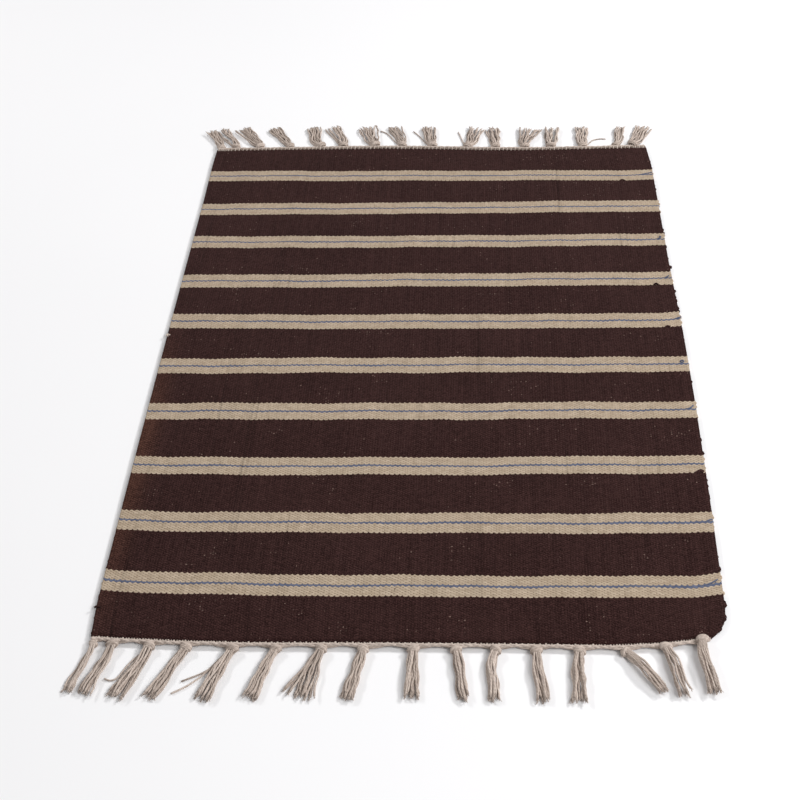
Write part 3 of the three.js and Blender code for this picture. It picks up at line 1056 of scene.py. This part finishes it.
def weft_tails(name, tails, radius, material):
    """Short ends of weft that lie on top of the cloth."""
    yarns = Yarns()
    for tail in tails:
        way = []
        for inward, up in tail.way:
            share = inward / (2 * HALF_WIDTH)
            share = share if tail.side == "left" else 1 - share
            x, y = weave_plan(np.array([share]), np.array([tail.pick]))[0, 0]
            way.append((x, y + up, TAIL_HEIGHT))
        way[0] = way[0][:2] + (TAIL_HEIGHT - TAIL_SUNK,)
        yarns.lay(eased(way, steps=5), radius)
    return yarns.piece(name, material)


def laid(piece, node):
    """Lays a piece in the frame: on the root body, in place of a node if one is named."""
    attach(piece, "root")
    if node:
        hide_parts(node)
    return piece


def looking(place, ahead, roll):
    """A matrix for a camera or lamp at place that looks ahead, turned by roll about that line."""
    ahead = ahead / np.linalg.norm(ahead)
    right = np.cross(ahead, UP)
    right /= np.linalg.norm(right)
    up = np.cross(right, ahead)
    turned = right * math.cos(roll) + up * math.sin(roll)
    above = up * math.cos(roll) - right * math.sin(roll)
    columns = np.column_stack([turned, above, -ahead, place])
    return Matrix(np.vstack([columns, [0, 0, 0, 1]]).tolist())


def soft_lamp(lamp):
    disc = bpy.data.lights.new(lamp.name, "AREA")
    disc.shape = "DISK"
    disc.size = lamp.width
    disc.energy = lamp.watts
    light = bpy.data.objects.new(lamp.name, disc)
    bpy.context.scene.collection.objects.link(light)
    light.visible_camera = False
    place = np.array(lamp.place)
    light.matrix_world = looking(place, -place, 0.0)


def studio():
    floor = bpy.data.meshes.new("floor")
    half = FLOOR_HALF_WIDTH
    floor.from_pydata(
        [(-half, -half, 0), (half, -half, 0), (half, half, 0), (-half, half, 0)], [], [(0, 1, 2, 3)]
    )
    linked("floor", floor, pale_floor())
    for lamp in LAMPS:
        soft_lamp(lamp)

    world = bpy.data.worlds.new("room")
    world.use_nodes = True
    world.node_tree.nodes["Background"].inputs["Color"].default_value = colour(1, 1, 1)
    world.node_tree.nodes["Background"].inputs["Strength"].default_value = ROOM_LIGHT
    bpy.context.scene.world = world
    bpy.context.scene.view_settings.view_transform = "Standard"


def camera():
    eye = bpy.data.cameras.new("camera")
    eye.sensor_width = CAMERA_SENSOR
    eye.lens = CAMERA_LENS
    stand = bpy.data.objects.new("camera", eye)
    bpy.context.scene.collection.objects.link(stand)
    level = math.cos(CAMERA_PITCH)
    ahead = (math.sin(CAMERA_YAW) * level, math.cos(CAMERA_YAW) * level, -math.sin(CAMERA_PITCH))
    stand.matrix_world = looking(np.array(CAMERA_PLACE), np.array(ahead), CAMERA_ROLL)
    bpy.context.scene.camera = stand


camera()
studio()
cloth_finish = striped_cloth()
cotton = plied_yarn("warp_cotton", DARK_COTTON, PALE_COTTON)
blue_weft = plied_yarn("blue_weft", DARK_BLUE, PALE_BLUE)
brown_weft = plied_yarn("brown_weft", DARK_BROWN, PALE_BROWN)

field = laid(woven_field(cloth_finish), "woven_field")
near_tassels = laid(
    knotted_fringe("near_tassels", NEAR_EDGE, 0, NEAR_TASSELS, NEAR_LOOSE, NEAR, cotton),
    "near_fringe",
)
far_tassels = laid(
    knotted_fringe("far_tassels", FAR_EDGE, PICKS, FAR_TASSELS, FAR_LOOSE, FAR, cotton),
    "far_fringe",
)
trimmings = [
    selvedges(cloth_finish),
    weft_tails("blue_weft_tails", BLUE_TAILS, BLUE_TAIL_RADIUS, blue_weft),
    weft_tails("brown_weft_tails", BROWN_TAILS, BROWN_TAIL_RADIUS, brown_weft),
    weft_tails("cream_weft_tail", CREAM_TAILS, CREAM_TAIL_RADIUS, cotton),
    weft_tails("stray_fibre", STRAY_FIBRES, STRAY_FIBRE_RADIUS, brown_weft),
]
for trimming in trimmings:
    laid(trimming, None)
[near_tassels, far_tassels] + trimmings
